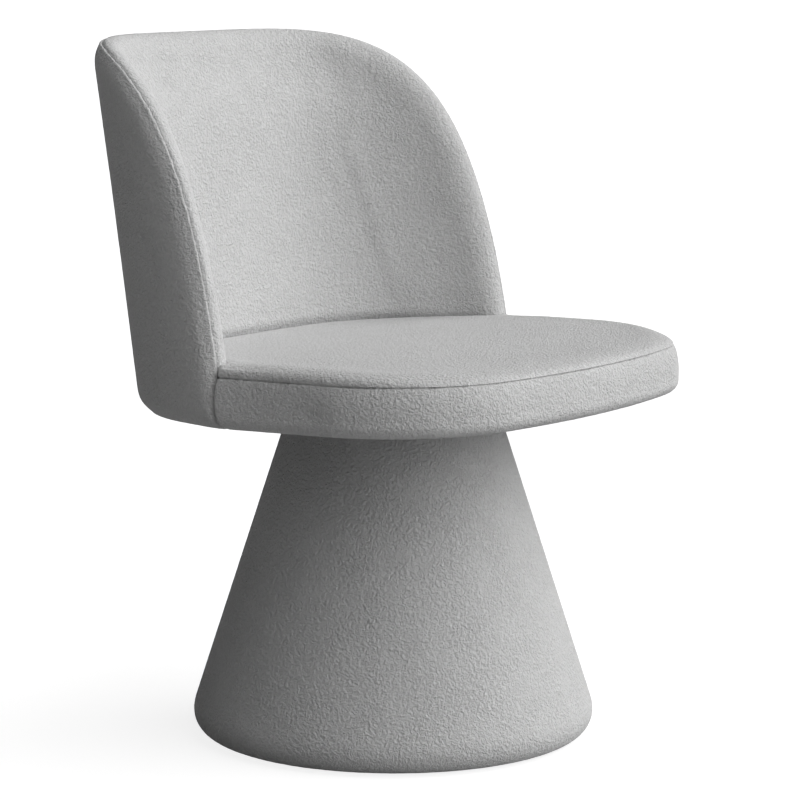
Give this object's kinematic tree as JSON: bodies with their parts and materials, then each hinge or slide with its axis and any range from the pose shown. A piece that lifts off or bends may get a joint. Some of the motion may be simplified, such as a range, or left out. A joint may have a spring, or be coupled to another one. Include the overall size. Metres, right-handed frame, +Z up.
{
  "type": "upholstered swivel dining chair",
  "caption": "Upholstered dining chair: padded seat with a sewn side band and a barrel back with wings, turning freely on a fabric-covered cone base.",
  "frame": {"origin": "centre of the floor pad's underside, on the floor under the swivel axis", "axes": "+Z up along the swivel axis, -Y towards the front of the seat, +X to the sitter's left"},
  "size_m": [0.5956, 0.5937, 0.7997],
  "materials": {
    "grey_pile_fabric": "dense short-curled pile",
    "seat_foam": "open-cell upholstery foam",
    "plywood": "raw plywood",
    "zinc_plated_steel": "zinc plated",
    "bearing_steel": "polished bearing steel",
    "black_painted_steel": "black powder coat",
    "felt": "dense felt",
    "black_lining": "thin unwoven lining",
    "nylon": "moulded nylon"
  },
  "bodies": {
    "base": {"floor_pad": "felt", "ballast_plate": "zinc_plated_steel", "base_board": "plywood", "cone_shell": "plywood", "cone_foam": "seat_foam", "cone_cover": "grey_pile_fabric", "top_board": "plywood", "column_tube": "black_painted_steel", "column_lower_flange": "black_painted_steel", "column_upper_flange": "black_painted_steel", "swivel_lower_plate": "zinc_plated_steel", "swivel_rivet": "zinc_plated_steel", "lower_flange_bolt_1": "zinc_plated_steel", "lower_flange_bolt_2": "zinc_plated_steel", "lower_flange_bolt_3": "zinc_plated_steel", "upper_flange_bolt_1": "zinc_plated_steel", "upper_flange_bolt_2": "zinc_plated_steel", "upper_flange_bolt_3": "zinc_plated_steel", "swivel_lower_bolt_1": "zinc_plated_steel", "swivel_lower_bolt_2": "zinc_plated_steel", "swivel_lower_bolt_3": "zinc_plated_steel", "swivel_lower_nut_1": "zinc_plated_steel", "swivel_lower_nut_2": "zinc_plated_steel", "swivel_lower_nut_3": "zinc_plated_steel"},
    "ball_race": {"swivel_cage": "nylon", "swivel_ball_1": "bearing_steel", "swivel_ball_2": "bearing_steel", "swivel_ball_3": "bearing_steel", "swivel_ball_4": "bearing_steel", "swivel_ball_5": "bearing_steel", "swivel_ball_6": "bearing_steel", "swivel_ball_7": "bearing_steel", "swivel_ball_8": "bearing_steel"},
    "seat": {"swivel_upper_plate": "zinc_plated_steel", "seat_block": "plywood", "seat_frame": "plywood", "seat_board": "plywood", "seat_edge_foam": "seat_foam", "seat_foam": "seat_foam", "seat_band": "grey_pile_fabric", "seat_top_panel": "grey_pile_fabric", "seat_dust_cover": "black_lining", "back_shell": "plywood", "back_inner_foam": "seat_foam", "back_outer_foam": "seat_foam", "back_inner_cover": "grey_pile_fabric", "back_outer_cover": "grey_pile_fabric", "swivel_upper_bolt_1": "zinc_plated_steel", "swivel_upper_bolt_2": "zinc_plated_steel", "swivel_upper_bolt_3": "zinc_plated_steel", "back_bolt_1": "zinc_plated_steel", "back_bolt_2": "zinc_plated_steel", "back_bolt_3": "zinc_plated_steel", "back_bolt_4": "zinc_plated_steel"}
  },
  "joints": [
    {"name": "seat_swivel", "type": "hinge", "parent": "base", "child": "seat", "pos_m": [0, 0, 0.3793], "axis": [0, 0, 1], "continuous": true},
    {"name": "ball_race_orbit", "type": "hinge", "parent": "base", "child": "ball_race", "pos_m": [0, 0, 0.3713], "axis": [0, 0, 1], "continuous": true}
  ],
  "couplings": [
    {"joint": "ball_race_orbit", "follows": "seat_swivel", "ratio": 0.5}
  ]
}
